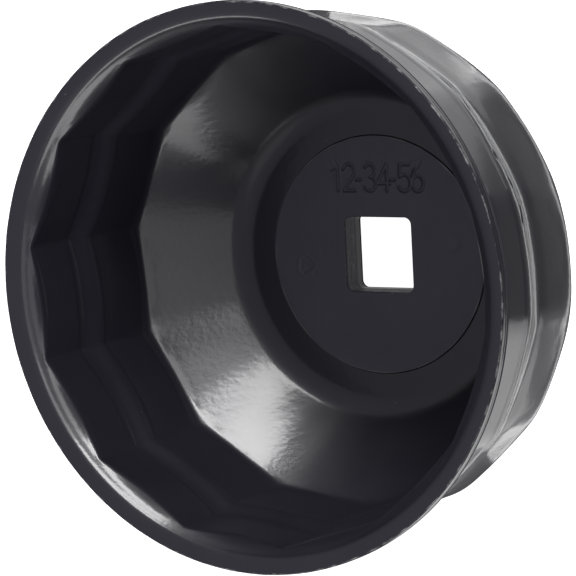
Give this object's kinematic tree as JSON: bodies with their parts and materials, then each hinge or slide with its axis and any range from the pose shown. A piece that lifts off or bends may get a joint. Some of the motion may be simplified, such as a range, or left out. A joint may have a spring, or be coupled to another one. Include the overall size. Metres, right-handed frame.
{
  "type": "oil filter wrench",
  "caption": "Cap-type oil filter wrench: a flared, stepped, fluted steel cup with a square-holed drive plate welded into a seat in its floor.",
  "frame": {"origin": "centre of the flat outside of the seat in the cup's floor", "axes": "+Z along the cup's axis, from the floor to the open mouth; the square drive hole's sides lie along X and Y"},
  "size_m": [0.0752, 0.0752, 0.0403],
  "materials": {
    "cup_coat": "gloss black coat",
    "plate_coat": "semi-gloss black coat",
    "weld_steel": "fused steel"
  },
  "bodies": {
    "root": {"cup": "cup_coat", "drive_plate": "plate_coat", "spot_welds": "weld_steel"}
  },
  "joints": []
}
